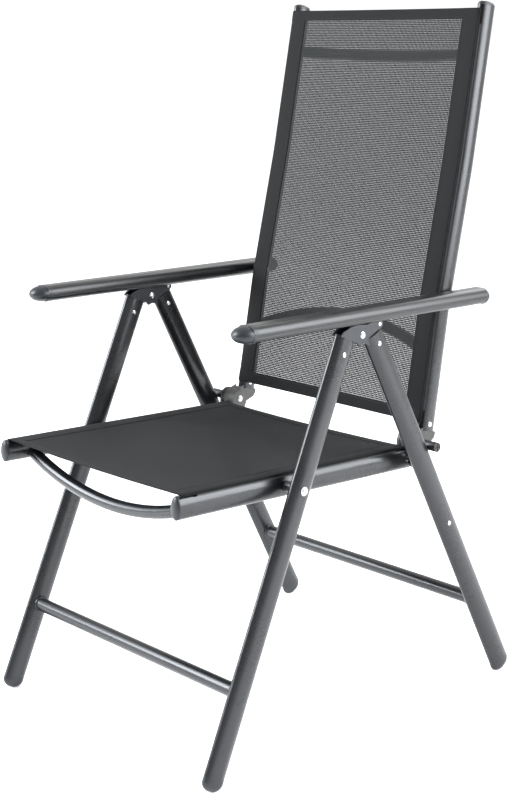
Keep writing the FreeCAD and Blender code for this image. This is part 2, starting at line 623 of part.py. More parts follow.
def arm_profile():
    """Extruded armrest: hollow, open along its underside, with a groove down each side."""
    length = ARM_FRONT + ARM_REAR
    skin = rounded_section(ARM_WIDTH, ARM_HEIGHT, ARM_ROUND, -ARM_FRONT).extrude(V(0, length, 0))
    mouth = Part.makeBox(CHANNEL_WIDTH, length + 2, ARM_HEIGHT / 2,
                         V(LEG_X - CHANNEL_WIDTH / 2, -ARM_FRONT - 1, -ARM_HEIGHT / 2 - 1))
    profile = skin.cut(arm_hollow()).cut(mouth)
    for side in (-1, 1):
        line = Part.makeCylinder(0.7, length + 2, V(ARM_X + side * ARM_WIDTH / 2, -ARM_FRONT - 1, -4.0), V(0, 1, 0))
        profile = profile.cut(line)
    hole = Part.makeCylinder(3.0 + FIT, 30.0, V(ARM_X - ARM_WIDTH / 2 - 10, 0, 0), V(1, 0, 0))
    return placed(profile.cut(hole))


def arm_cap(y, side, rise):
    """Long domed end cap with a plug; side is -1 at the front and +1 at the rear."""
    skin = rounded_section(ARM_WIDTH, ARM_HEIGHT, ARM_ROUND, y)
    ball = Part.makeSphere(1.0)
    stretch = FreeCAD.Matrix()
    stretch.scale(ARM_WIDTH / 2, rise, ARM_HEIGHT / 2)
    ball = ball.transformGeometry(stretch)
    ball.translate(V(ARM_X, y, 0))
    reach = rise * 0.35
    neck = skin.extrude(V(0, side * reach, 0))
    ball.translate(V(0, side * reach, 0))
    beyond = Part.makeBox(60, rise + 5, 60, V(ARM_X - 30, y + side * reach if side > 0 else y - reach - rise - 5, -30))
    nose = ball.common(beyond)
    plug = rounded_section(ARM_WIDTH - 2 * ARM_WALL - 0.4, ARM_HEIGHT - 2 * ARM_WALL - 0.4,
                           ARM_ROUND - ARM_WALL - 0.2, y).extrude(V(0, -side * 14.0, 0))
    return placed(neck.fuse([nose, plug]))


def arm_rack():
    """Toothed strip under the armrest's roof: a stop, an open first notch, then the teeth."""
    roof = ARM_HEIGHT / 2 - ARM_WALL
    strip = Part.makeBox(RACK_WIDTH, RACK_ENDS[1] - RACK_ENDS[0], 3.0,
                         V(LEG_X - RACK_WIDTH / 2, -RACK_ENDS[1], roof - 3.0))
    blocks = []
    for near, far in (RACK_STOP, RACK_TEETH):
        blocks.append(Part.makeBox(RACK_WIDTH, far - near, roof - RACK_TIP,
                                   V(LEG_X - RACK_WIDTH / 2, -far, RACK_TIP)))
    rack = strip.fuse(blocks)
    y = -RACK_TEETH[0] - NOTCH_PITCH / 2
    while y > -RACK_TEETH[1] + NOTCH_PITCH / 3:
        notch = Part.makeCylinder(3.6, RACK_WIDTH + 4, V(LEG_X - RACK_WIDTH / 2 - 2, y, RACK_TIP + 1.6), V(1, 0, 0))
        mouth = Part.makeBox(RACK_WIDTH + 4, 7.2, 4.0, V(LEG_X - RACK_WIDTH / 2 - 2, y - 3.6, RACK_TIP - 2.4))
        rack = rack.cut(notch).cut(mouth)
        y -= NOTCH_PITCH
    for reach in (127.0, 318.0):
        rack = rack.cut(Part.makeCylinder(2.0, 60, V(LEG_X, -reach, -30), V(0, 0, 1)))
    return placed(rack.common(arm_hollow()))


def rack_rivets():
    """Two screws that hold the rack under the armrest's roof, heads down."""
    roof = ARM_HEIGHT / 2 - ARM_WALL
    screws = []
    for reach, seat in ((127.0, roof - 3.0), (318.0, RACK_TIP)):
        shank = Part.makeCylinder(2.0, roof - seat, V(LEG_X, -reach, seat), V(0, 0, 1))
        head = Part.makeCylinder(3.4, 1.0, V(LEG_X, -reach, seat - 1.0), V(0, 0, 1))
        screws.append(placed(shank.fuse(head)))
    return Part.makeCompound(screws)


def arm_bolt():
    """Bolt from inside the back tube through the spacer into the armrest, with its nut."""
    start, end = RAIL_X - RAIL_WIDTH / 2 - 0.3, ARM_X - ARM_WIDTH / 2 + 12.0
    nut_x = ARM_X - ARM_WIDTH / 2 + ARM_WALL + 2.0
    return headed_pin(start, end, ARM_PIVOT, 3.0, (5.5, 3.0)).fuse(rod(nut_x, nut_x + 5.0, ARM_PIVOT, 5.2))


def arm_spacer():
    ring = rod(RAIL_X + RAIL_WIDTH / 2 + 0.3, ARM_X - ARM_WIDTH / 2 - 0.3, ARM_PIVOT, 8.0)
    return bored(ring, ARM_PIVOT, 3.0 + FIT)


# ---------------------------------------------------------------- build
def build_front_frame():
    save_sides("front_leg", leg(FRONT_FOOT, FRONT_UP, FRONT_TOP, [(SEAT_PIVOT, 3.0), (FRONT_RIVET, 2.0)]))
    save_sides("front_foot_cap", foot_cap(FRONT_FOOT, FRONT_UP))
    save("front_crossbar", crossbar(FRONT_BAR, FRONT_FOOT, FRONT_UP))
    save_sides("leg_bracket", leg_bracket())
    outer, inner = LEG_X + LEG_WIDTH / 2, LEG_X - LEG_WIDTH / 2
    save("notch_pins", pair(rivet(inner, outer, NOTCH_PIN, 3.0, 2.4, 0.6)))
    save("leg_pivot_rivets", pair(rivet(inner, outer, C, 3.0, 5.2, 1.8)))
    save("front_bracket_rivets", pair(rivet(inner, outer, FRONT_RIVET, 2.0, 3.6, 1.2)))
    save("seat_pivot_bolts", pair(seat_pivot_bolt()))
    save("seat_pivot_nuts", pair(seat_pivot_nut()))
    save("seat_pivot_spacers", pair(seat_pivot_spacer()))


def build_rear_legs():
    save_sides("rear_leg", leg(REAR_FOOT, REAR_UP, REAR_TOP, [(REAR_RIVET, 2.0), (BUFFER, 2.0)]))
    save_sides("rear_foot_cap", foot_cap(REAR_FOOT, REAR_UP))
    save("rear_crossbar", crossbar(REAR_BAR, REAR_FOOT, REAR_UP))
    save_sides("rear_leg_insert", rear_insert())
    outer, inner = LEG_X + LEG_WIDTH / 2, LEG_X - LEG_WIDTH / 2
    save("rear_insert_rivets", pair(rivet(inner, outer, REAR_RIVET, 2.0, 3.6, 1.2)))
    save("leg_buffers", pair(buffer()))
    save("buffer_rivets", pair(rivet(inner - 7.0, outer, BUFFER, 2.0, 3.6, 1.2)))


def build_seat():
    save_sides("seat_rail", seat_rail())
    save_sides("seat_front_cap", rail_cap(RAIL_FRONT, (-SEAT_REAR[0], -SEAT_REAR[1]), SEAT_UP, 5.0))
    save("seat_front_bow", seat_bow(BOW_FRONT, 44.0))
    save("seat_rear_bow", seat_bow(BOW_REAR, 8.0))
    save("seat_mesh", seat_mesh())
    save("seat_keder_cords", pair(keder(SEAT_LINE, SEAT_UP, 32.0)))
    save_sides("seat_hinge_insert", seat_hinge_insert())
    save("seat_insert_rivets", pair(tube_rivet()))


def build_hinge():
    save("hinge_pins", pair(hinge_pin()))
    save("hinge_rollers", pair(hinge_roller()))


def build_back():
    save_sides("back_tube", back_tube())
    save_sides("back_top_cap", rail_cap(BACK_TOP, unit(BACK_LEANS[2]), BACK_TOP_FRONT, 6.5))
    save("back_upper_bow", back_bow(UPPER_BOW, BACK_LEANS[2], 34.0, 0.0))
    save("back_lower_bow", back_bow(LOWER_BOW, BACK_LEANS[0], 50.0, math.radians(75.0)))
    save("back_mesh", back_mesh())
    save("back_keder_cords", pair(keder(BACK_LINE, BACK_FRONT, 32.0)))
    save_sides("back_hinge_insert", back_hinge_insert())
    outer, inner = RAIL_X + RAIL_WIDTH / 2, RAIL_X - RAIL_WIDTH / 2
    save("back_insert_rivets", pair(rivet(inner, outer, BACK_RIVET, 2.2, 4.0, 1.2)))


def build_armrests():
    save("armrest_spacers", pair(arm_spacer()))
    save("armrest_bolts", pair(arm_bolt()))
    save_sides("armrest", arm_profile())
    save_sides("armrest_front_cap", arm_cap(-ARM_FRONT, -1, ARM_NOSE * 0.75))
    save_sides("armrest_rear_cap", arm_cap(ARM_REAR, 1, ARM_TAIL * 0.75))
    save_sides("armrest_rack", arm_rack())
    screws = rack_rivets()
    save("armrest_rack_screws_left", screws)
    save("armrest_rack_screws_right", mirrored(screws))


os.makedirs("parts", exist_ok=True)
build_front_frame()
build_rear_legs()
build_seat()
build_hinge()
build_back()
build_armrests()
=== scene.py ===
import json
import math
import bpy
import bmesh
from mathutils import Matrix, Vector


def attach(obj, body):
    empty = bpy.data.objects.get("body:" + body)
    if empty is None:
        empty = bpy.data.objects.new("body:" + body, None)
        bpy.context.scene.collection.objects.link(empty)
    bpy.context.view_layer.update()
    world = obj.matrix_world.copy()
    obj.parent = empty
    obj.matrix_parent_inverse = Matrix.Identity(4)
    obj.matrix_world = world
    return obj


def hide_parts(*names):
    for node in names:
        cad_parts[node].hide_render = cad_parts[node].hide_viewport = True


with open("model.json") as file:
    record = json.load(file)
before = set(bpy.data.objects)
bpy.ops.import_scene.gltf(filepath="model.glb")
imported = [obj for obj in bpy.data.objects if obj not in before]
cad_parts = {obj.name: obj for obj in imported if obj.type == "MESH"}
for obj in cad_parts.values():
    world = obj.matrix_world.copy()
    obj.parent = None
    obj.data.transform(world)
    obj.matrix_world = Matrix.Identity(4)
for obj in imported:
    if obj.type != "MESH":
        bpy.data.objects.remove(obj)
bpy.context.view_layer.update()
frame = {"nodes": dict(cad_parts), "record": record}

NODES = frame["nodes"]

# ---------------------------------------------------------------- the fabric's layout, metres
SHIFT_Y = -0.01903
RAIL_X = 0.215            # middle of the seat and back rails
CROWN = 0.0175            # half depth of a rail
RAIL_HALF = 0.010
SLOT_X = 0.2185           # keder slot
LIFT = 0.0006             # fabric above the rail's crown
SEAT_SLOPE = math.radians(2.45)
SEAT_PIVOT = (-0.1442832, 0.4005)
HINGE = (SEAT_PIVOT[0] + 0.2794, 0.412)
BACK_FOOT = (HINGE[0] + 0.0298, 0.424)
LEANS = (11.7, 14.6, 12.5)
BENDS_Z = (0.620, 0.840, 1.091)
BEND_RADIUS = 0.5
RAIL_AHEAD, RAIL_BEHIND = 0.198, 0.270     # the seat rail's ends from its pivot
SEAT_ENDS = (0.004, 0.010)                 # cloth's ends inside the seat rail's, front and rear
BACK_ENDS = (0.012, 0.006)                 # and inside the back tube's, low and high
STEP = 0.008                               # distance between rows of the cloth's surface

# ---------------------------------------------------------------- hems and stitches, metres
ACROSS_STEPS, EDGE_STEPS = 56, 4           # cloth between the rails, and from slot to crown
EDGE_TUCK = 0.0022                         # the cloth's edge goes this far down into the slot
END_HEM, SIDE_HEM = 0.0007, 0.00045        # half thickness of the hems
STITCH_INSET, STITCH_LIFT = 0.003, 0.0008
STITCH_PITCH, STITCH_LONG, STITCH_HALF = 0.0042, 0.0029, 0.00035
STITCH_SIDES = 6
STITCH_PROFILE = ((0.0, 0.3), (0.2, 0.9), (0.5, 1.1), (0.8, 0.9), (1.0, 0.3))
HEM_PROFILE = ((0.0, 0.0), (0.04, 0.75), (0.10, 1.0), (0.5, 1.05), (0.90, 1.0), (0.96, 0.75),
               (1.0, 0.0), (0.96, -0.75), (0.90, -1.0), (0.5, -1.0), (0.10, -1.0), (0.04, -0.75))

# ---------------------------------------------------------------- camera, light and floor
CAMERA_PLACE = (1.9518, -1.7027 + SHIFT_Y, 1.0982)
CAMERA_TURN = (48.54, -7.22, -1.24)        # yaw, pitch, roll, degrees
LENS, SENSOR, CAMERA_SHIFT = 74.62, 36.0, -0.229
SOFTBOXES = (                              # name, place, target height, size, power, tint
    ("key", (-2.1, -2.6, 2.3), 0.60, (2.0, 2.6), 330.0, (0.90, 0.95, 1.0)),
    ("fill", (2.4, 1.5, 1.7), 0.5, (1.8, 2.6), 175.0, (0.94, 0.97, 1.0)),
    ("rim", (-0.6, 2.6, 2.6), 0.6, (2.4, 1.2), 40.0, (1.0, 1.0, 1.0)),
)
BACKDROP = (-0.72, 0.64, 0.28)             # towards the brightest part of the room
ROOM_SPAN, ROOM_LIGHT = (-0.35, 0.55), (0.62, 1.06)
FLOOR_HALF = 30
FLOOR_FADE = (0.9, 3.0)                    # metres from the chair where the floor's painted light and painted shade start and end to darken it
# Painted light: emission strength of the floor where it is lit.
FLOOR_GLOW = 0.35


def srgb(v):
    v /= 255.0
    return v / 12.92 if v <= 0.04045 else ((v + 0.055) / 1.055) ** 2.4


# ---------------------------------------------------------------- node helpers
class Graph:
    """A material's node tree with short calls."""

    def __init__(self, name):
        self.mat = bpy.data.materials.new(name)
        self.mat.use_nodes = True
        self.tree = self.mat.node_tree
        self.tree.nodes.clear()
        self.out = self.tree.nodes.new("ShaderNodeOutputMaterial")

    def node(self, kind, **inputs):
        """A node: operation and data_type are its settings, and the rest are its inputs."""
        n = self.tree.nodes.new(kind)
        for key in ("operation", "data_type"):
            if key in inputs:
                setattr(n, key, inputs.pop(key))
        for key, value in inputs.items():
            self.feed(n, key, value)
        return n

    def feed(self, n, key, value):
        """Link or set an input, by its name or as iN by its number."""
        numbered = key[0] == "i" and key[1:].isdigit()
        socket = n.inputs[int(key[1:]) if numbered else key.replace("_", " ")]
        if isinstance(value, bpy.types.NodeSocket):
            self.tree.links.new(value, socket)
        else:
            socket.default_value = value

    def math(self, operation, a, b=0.0):
        return self.node("ShaderNodeMath", operation=operation, i0=a, i1=b).outputs[0]

    def noise(self, vector, scale, detail=3.0, roughness=0.5):
        return self.node("ShaderNodeTexNoise", Vector=vector, Scale=scale, Detail=detail,
                         Roughness=roughness).outputs["Fac"]

    def span(self, value, low, high, to_low, to_high):
        n = self.node("ShaderNodeMapRange", Value=value)
        for key, v in (("From Min", low), ("From Max", high), ("To Min", to_low), ("To Max", to_high)):
            n.inputs[key].default_value = v
        return n.outputs[0]

    def mix(self, factor, a, b):
        n = self.node("ShaderNodeMix", data_type="RGBA")
        self.feed(n, "i0", factor)
        self.feed(n, "i6", a)
        self.feed(n, "i7", b)
        return n.outputs[2]

    def position(self):
        return self.node("ShaderNodeTexCoord").outputs["Object"]

    def bump(self, height, strength, distance):
        n = self.node("ShaderNodeBump", Strength=strength, Height=height)
        n.inputs["Distance"].default_value = distance
        return n.outputs["Normal"]

    def finish(self, shader):
        self.tree.links.new(shader, self.out.inputs["Surface"])
        return self.mat


def rgba(r, g, b):
    return (srgb(r), srgb(g), srgb(b), 1.0)


def coat_material(name, base, worn, roughness):
    """Satin powder coat: orange-peel bump, fine sparkle, faint dust in broad patches."""
    g = Graph(name)
    p = g.position()
    patches = g.noise(p, 9.0, 4.0, 0.6)
    grain = g.noise(p, 900.0, 2.0)
    peel = g.noise(p, 420.0, 2.0, 0.4)
    colour = g.mix(g.span(patches, 0.35, 0.7, 0.0, 1.0), base, worn)
    rough = g.math("ADD", g.span(patches, 0.3, 0.7, roughness - 0.04, roughness + 0.05),
                   g.span(grain, 0.3, 0.7, -0.03, 0.03))
    bsdf = g.node("ShaderNodeBsdfPrincipled", Base_Color=colour, Metallic=0.25, Roughness=rough,
                  Normal=g.bump(peel, 0.12, 0.0004))
    bsdf.inputs["Coat Weight"].default_value = 0.22
    bsdf.inputs["Coat Roughness"].default_value = 0.28
    return g.finish(bsdf.outputs[0])


def plastic_material(name, base, light, roughness):
    """Moulded plastic: spark-eroded grain, small change of tone, a little scuffing."""
    g = Graph(name)
    p = g.position()
    grain = g.node("ShaderNodeTexVoronoi", Vector=p, Scale=700.0).outputs["Distance"]
    tone = g.noise(p, 25.0, 5.0, 0.65)
    scuff = g.noise(p, 140.0, 4.0, 0.7)
    colour = g.mix(g.span(tone, 0.35, 0.7, 0.0, 1.0), base, light)
    rough = g.span(scuff, 0.35, 0.7, roughness, roughness + 0.12)
    bsdf = g.node("ShaderNodeBsdfPrincipled", Base_Color=colour, Roughness=rough,
                  Normal=g.bump(grain, 0.25, 0.0003))
    bsdf.inputs["Specular IOR Level"].default_value = 0.45
    return g.finish(bsdf.outputs[0])


def metal_material(name, base, dark, roughness, ring_scale):
    """Turned or rolled metal: fine rings, small stains."""
    g = Graph(name)
    p = g.position()
    stains = g.noise(p, 90.0, 4.0, 0.6)
    lines = g.noise(p, ring_scale, 2.0, 0.5)
    colour = g.mix(g.span(stains, 0.4, 0.75, 0.0, 1.0), base, dark)
    rough = g.math("ADD", roughness, g.span(lines, 0.3, 0.7, -0.05, 0.08))
    bsdf = g.node("ShaderNodeBsdfPrincipled", Base_Color=colour, Metallic=1.0, Roughness=rough,
                  Normal=g.bump(lines, 0.08, 0.0002))
    return g.finish(bsdf.outputs[0])


def mesh_material(name, thread, thread_crown_highlight, gap_u, gap_v, pitch, hem=False):
    """Woven PVC-coated yarn: crossing round threads with open gaps between them, with painted shade in the
    weave's dips and a painted highlight on the threads' crowns.

    The UV map is in metres across and along the cloth. A hem's weave has no gaps.
    """
    g = Graph(name)
    uv = g.node("ShaderNodeUVMap")
    uv.uv_map = "cloth"
    xyz = g.node("ShaderNodeSeparateXYZ", Vector=uv.outputs[0])
    u = g.math("MULTIPLY", xyz.outputs[0], math.pi / pitch)
    v = g.math("MULTIPLY", xyz.outputs[1], math.pi / pitch)
    across = g.math("ABSOLUTE", g.math("SINE", u))
    along = g.math("ABSOLUTE", g.math("SINE", v))
    over = g.math("MULTIPLY", g.math("SINE", g.math("ADD", u, math.pi / 2)),
                  g.math("SINE", g.math("ADD", v, math.pi / 2)))
    height = g.math("MAXIMUM", g.math("ADD", across, g.math("MULTIPLY", over, 0.25)),
                    g.math("SUBTRACT", along, g.math("MULTIPLY", over, 0.25)))
    slub = g.noise(uv.outputs[0], 60.0, 4.0, 0.6)
    fine = g.noise(uv.outputs[0], 1400.0, 2.0, 0.5)
    # Painted shade and highlight: darker where the weave's height is low, lighter on the crowns, times the
    # slub's random tone.
    colour = g.mix(g.math("MULTIPLY", g.span(height, 0.3, 1.1, 0.2, 1.0),
                          g.span(slub, 0.3, 0.7, 0.75, 1.0)), thread, thread_crown_highlight)
    rough = g.span(fine, 0.3, 0.7, 0.66, 0.82)
    bsdf = g.node("ShaderNodeBsdfPrincipled", Base_Color=colour, Roughness=rough,
                  Normal=g.bump(height, 0.6, 0.0004))
    bsdf.inputs["Sheen Weight"].default_value = 0.02
    bsdf.inputs["Specular IOR Level"].default_value = 0.16
    if hem:
        return g.finish(bsdf.outputs[0])
    gap = g.math("MULTIPLY", g.math("LESS_THAN", across, gap_u), g.math("LESS_THAN", along, gap_v))
    clear = g.node("ShaderNodeBsdfTransparent")
    mixed = g.node("ShaderNodeMixShader", i0=gap, i1=bsdf.outputs[0], i2=clear.outputs[0])
    return g.finish(mixed.outputs[0])


def thread_material(name, base, dark):
    """Sewing thread: fine twist."""
    g = Graph(name)
    twist = g.noise(g.position(), 2600.0, 2.0)
    bsdf = g.node("ShaderNodeBsdfPrincipled", Base_Color=g.mix(twist, base, dark), Roughness=0.7,
                  Normal=g.bump(twist, 0.4, 0.0002))
    return g.finish(bsdf.outputs[0])


MATERIALS = {
    "frame_coat": coat_material("frame_coat", rgba(24, 25, 28), rgba(32, 33, 36), 0.29),
    # The armrest's coat is the frame's satin coat made darker: painted shade for the armrest's dark top.
    "armrest_coat": coat_material("armrest_coat", rgba(14, 15, 17), rgba(22, 23, 25), 0.34),
    "cap_plastic": plastic_material("cap_plastic", rgba(28, 30, 34), rgba(36, 38, 43), 0.34),
    "hinge_plastic": plastic_material("hinge_plastic", rgba(52, 51, 50), rgba(62, 61, 59), 0.45),
    "sleeve_plastic": plastic_material("sleeve_plastic", rgba(26, 26, 28), rgba(34, 34, 36), 0.38),
    "buffer_rubber": plastic_material("buffer_rubber", rgba(30, 30, 30), rgba(38, 38, 38), 0.7),
    "rivet_metal": metal_material("rivet_metal", rgba(228, 229, 230), rgba(186, 187, 189), 0.24, 500.0),
    "bolt_steel": metal_material("bolt_steel", rgba(205, 205, 203), rgba(158, 158, 155), 0.3, 800.0),
    "keder": plastic_material("keder", rgba(40, 40, 42), rgba(48, 48, 50), 0.5),
}
# Each weave's second colour is the painted highlight on its threads' crowns; its first shows in the painted
# shade of the dips.
BACK_CLOTH = mesh_material("back_weave", rgba(10, 10, 10), rgba(38, 39, 39), 0.42, 0.51, 0.0030)
SEAT_CLOTH = mesh_material("seat_weave", rgba(4, 4, 5), rgba(13, 14, 15), 0.06, 0.08, 0.0026)
HEM_CLOTH = mesh_material("hem_weave", rgba(6, 6, 7), rgba(15, 16, 17), 0.0, 0.0, 0.0030, hem=True)
THREAD = thread_material("stitch_thread", rgba(28, 29, 31), rgba(20, 20, 22))

for node_name, obj in NODES.items():
    slot_name = next(p["material_slot"] for p in frame["record"]["subparts"] if p["node"] == node_name)
    if slot_name in MATERIALS:
        for s in obj.material_slots:
            s.link = "OBJECT"
            s.material = MATERIALS[slot_name]


# ---------------------------------------------------------------- paths in the side plane
def lean(degrees):
    a = math.radians(degrees)
    return Vector((math.sin(a), math.cos(a)))


def arc_run(points, radius, step):
    """Points every `step` or so along a polyline with rounded corners, with the direction at each."""
    pts = [Vector(p) for p in points]
    run, start = [], pts[0]

    def straight(a, b):
        count = max(2, int((b - a).length / step))
        d = (b - a).normalized()
        return [(a.lerp(b, i / count), d) for i in range(count)]

    for before, corner, after in zip(pts, pts[1:], pts[2:]):
        a, b = (corner - before).normalized(), (after - corner).normalized()
        turn = math.atan2(a.x * b.y - a.y * b.x, a.dot(b))
        reach = radius * math.tan(abs(turn) / 2)
        first = corner - a * reach
        run += straight(start, first)
        side = Vector((-a.y, a.x)) * (1 if turn > 0 else -1)
        centre = first + side * radius
        count = max(2, int(abs(turn) * radius / step))
        for i in range(count):
            m = Matrix.Rotation(turn * i / count, 2)
            run.append((centre + m @ (first - centre), m @ a))
        start = corner + b * reach
    run += straight(start, pts[-1])
    run.append((pts[-1], (pts[-1] - start).normalized()))
    return run


seat_dir = Vector((math.cos(SEAT_SLOPE), -math.sin(SEAT_SLOPE)))
rail_front = Vector(SEAT_PIVOT) - seat_dir * RAIL_AHEAD
rail_rear = Vector(SEAT_PIVOT) + seat_dir * RAIL_BEHIND
SEAT_RUN = arc_run([rail_front + seat_dir * SEAT_ENDS[0], rail_rear - seat_dir * SEAT_ENDS[1]],
                   BEND_RADIUS, STEP)


def at_height(p, degrees, z):
    d = lean(degrees)
    return Vector(p) + d * ((z - p[1]) / d.y)


low_bend = at_height(BACK_FOOT, LEANS[0], BENDS_Z[0])
high_bend = at_height(low_bend, LEANS[1], BENDS_Z[1])
back_top = at_height(high_bend, LEANS[2], BENDS_Z[2])
BACK_RUN = arc_run([Vector(BACK_FOOT) + lean(LEANS[0]) * BACK_ENDS[0], low_bend, high_bend,
                    back_top - lean(LEANS[2]) * BACK_ENDS[1]], BEND_RADIUS, STEP)


# ---------------------------------------------------------------- cloth
def run_length(run):
    return sum((b[0] - a[0]).length for a, b in zip(run, run[1:]))


def crown_at(x):
    """Height of the rail's surface above its axis, under the cloth's outer edge."""
    return CROWN * math.sqrt(1 - ((x - RAIL_X) / RAIL_HALF) ** 2)


def cross_section(sag):
    """Offsets (x, height above the rail axis) from slot to slot over both crowns."""
    section = []
    edge = SLOT_X - RAIL_X
    for i in range(EDGE_STEPS + 1):
        x = SLOT_X - edge * i / EDGE_STEPS
        h = crown_at(x) + LIFT
        section.append((x, h if i else h - EDGE_TUCK))
    for i in range(1, ACROSS_STEPS):
        x = RAIL_X * (1 - 2 * i / ACROSS_STEPS)
        section.append((x, CROWN + LIFT - sag * (1 - (x / RAIL_X) ** 2)))
    for x, h in section[EDGE_STEPS::-1]:
        section.append((-x, h))
    return section


def upward(direction):
    """The way up from the seat rail or forward from the back tube, square to its run."""
    return Vector((-direction.y, direction.x))


def sag_at(s, length, deepest, ends):
    """Less sag at the hems than in the middle."""
    t = s / length
    return deepest * (ends + (1 - ends) * (4 * t * (1 - t)) ** 0.6)


def new_object(name, bm, material):
    mesh = bpy.data.meshes.new(name)
    bm.to_mesh(mesh)
    bm.free()
    obj = bpy.data.objects.new(name, mesh)
    bpy.context.scene.collection.objects.link(obj)
    mesh.materials.append(material)
    return obj


def build_sheet(name, lay, material):
    """The cloth as one surface with a UV map in metres, and its developed width."""
    run, sag, ends = lay
    bm = bmesh.new()
    uv = bm.loops.layers.uv.new("cloth")
    total = run_length(run)
    rows, s, coords = [], 0.0, {}
    previous = run[0][0]
    for p, d in run:
        s += (p - previous).length
        previous = p
        row, w, last = [], 0.0, None
        for x, h in cross_section(sag_at(s, total, sag, ends)):
            if last is not None:
                w += math.hypot(x - last[0], h - last[1])
            last = (x, h)
            q = p + upward(d) * h
            vert = bm.verts.new((x, q.x, q.y))
            coords[vert] = (w, s)
            row.append(vert)
        rows.append(row)
    for a, b in zip(rows, rows[1:]):
        for i in range(len(a) - 1):
            face = bm.faces.new((a[i], a[i + 1], b[i + 1], b[i]))
            face.smooth = True
            for loop in face.loops:
                loop[uv].uv = coords[loop.vert]
    width = max(c[0] for c in coords.values())
    obj = new_object(name, bm, material)
    return obj, width


def surface_point(lay, s, x, lift):
    """A point on the cloth at distance s along it and x across it, `lift` above its surface."""
    run, sag, ends = lay
    total = run_length(run)
    walked, index = 0.0, 0
    while index < len(run) - 2 and walked + (run[index + 1][0] - run[index][0]).length < s:
        walked += (run[index + 1][0] - run[index][0]).length
        index += 1
    a, b = run[index], run[index + 1]
    t = max(0.0, min(1.0, (s - walked) / (b[0] - a[0]).length))
    p, d = a[0].lerp(b[0], t), a[1].lerp(b[1], t).normalized()
    if abs(x) > RAIL_X:
        h = crown_at(abs(x))
    else:
        h = CROWN - sag_at(s, total, sag, ends) * (1 - (x / RAIL_X) ** 2)
    q = p + upward(d) * (h + LIFT + lift)
    return Vector((x, q.x, q.y))


def band(name, lay, corners, thickness):
    """A doubled strip of cloth, rounded at its edges, between (s0, x0) and (s1, x1)."""
    (s0, x0), (s1, x1) = corners
    long_way = abs(s1 - s0) > abs(x1 - x0)
    n = int(max(abs(s1 - s0), abs(x1 - x0)) / STEP)
    bm = bmesh.new()
    uv = bm.loops.layers.uv.new("cloth")
    rings, coords = [], {}
    for i in range(n + 1):
        ring = []
        for across, up in HEM_PROFILE:
            along, over = (i / n, across) if long_way else (across, i / n)
            s, x = s0 + (s1 - s0) * along, x0 + (x1 - x0) * over
            vert = bm.verts.new(surface_point(lay, s, x, up * thickness))
            coords[vert] = (x, s)
            ring.append(vert)
        rings.append(ring)
    count = len(HEM_PROFILE)
    for a, b in zip(rings, rings[1:]):
        for i in range(count):
            bm.faces.new((a[i], a[(i + 1) % count], b[(i + 1) % count], b[i]))
    bm.faces.new(rings[0])
    bm.faces.new(rings[-1][::-1])
    bmesh.ops.recalc_face_normals(bm, faces=bm.faces)
    for face in bm.faces:
        face.smooth = True
        for loop in face.loops:
            loop[uv].uv = coords[loop.vert]
    return new_object(name, bm, HEM_CLOTH)


def stitches(name, lay, lines):
    """Rows of short raised stitches along (s0, x0) to (s1, x1)."""
    bm = bmesh.new()
    turns = [k * 2 * math.pi / STITCH_SIDES for k in range(STITCH_SIDES)]
    for (s0, x0), (s1, x1) in lines:
        def on_line(t, lift):
            return surface_point(lay, s0 + (s1 - s0) * t, x0 + (x1 - x0) * t, lift)

        length = math.hypot(s1 - s0, x1 - x0)
        up = (on_line(0.5, STITCH_LIFT + 0.01) - on_line(0.5, STITCH_LIFT)).normalized()
        for i in range(int(length / STITCH_PITCH)):
            a = on_line(i * STITCH_PITCH / length, STITCH_LIFT)
            b = on_line((i * STITCH_PITCH + STITCH_LONG) / length, STITCH_LIFT)
            side = (b - a).normalized().cross(up).normalized()
            rings = []
            for t, r in STITCH_PROFILE:
                centre = a.lerp(b, t)
                rings.append([bm.verts.new(centre + side * STITCH_HALF * r * math.cos(turn)
                                           + up * STITCH_HALF * r * math.sin(turn)) for turn in turns])
            for low, high in zip(rings, rings[1:]):
                for k in range(STITCH_SIDES):
                    nxt = (k + 1) % STITCH_SIDES
                    bm.faces.new((low[k], low[nxt], high[nxt], high[k])).smooth = True
            bm.faces.new(rings[0][::-1])
            bm.faces.new(rings[-1])
    return new_object(name, bm, THREAD)


def cloth(prefix, body, lay, material, hems):
    """Cloth, its hems and its stitching, riding on one body in place of its CAD panel."""
    node = prefix + "_mesh"
    hem_low, hem_high, hem_side = hems
    total = run_length(lay[0])
    obj, width = build_sheet(prefix + "_cloth", lay, material)
    inner = SLOT_X - hem_side
    parts = [
        band(prefix + "_hem_low", lay, ((0.0, -SLOT_X), (hem_low, SLOT_X)), END_HEM),
        band(prefix + "_hem_high", lay, ((total - hem_high, -SLOT_X), (total, SLOT_X)), END_HEM),
        band(prefix + "_hem_left", lay, ((0.0, inner), (total, SLOT_X)), SIDE_HEM),
        band(prefix + "_hem_right", lay, ((0.0, -SLOT_X), (total, -inner)), SIDE_HEM),
    ]
    rows = [((s, -inner), (s, inner)) for s in (hem_low - STITCH_INSET, total - hem_high + STITCH_INSET)]
    rows += [((hem_low, x), (total - hem_high, x)) for x in (inner + STITCH_INSET, -inner - STITCH_INSET)]
    parts.append(stitches(prefix + "_stitching", lay, rows))
    for piece in parts:
        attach(piece, body)
    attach(obj, body)
    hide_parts(node)


# run, deepest sag, share of the sag at the hems; then hem widths low, high and side
cloth("seat", "seat", (SEAT_RUN, 0.008, 0.35), SEAT_CLOTH, (0.016, 0.016, 0.030))
cloth("back", "backrest", (BACK_RUN, 0.005, 0.5), BACK_CLOTH, (0.020, 0.018, 0.036))


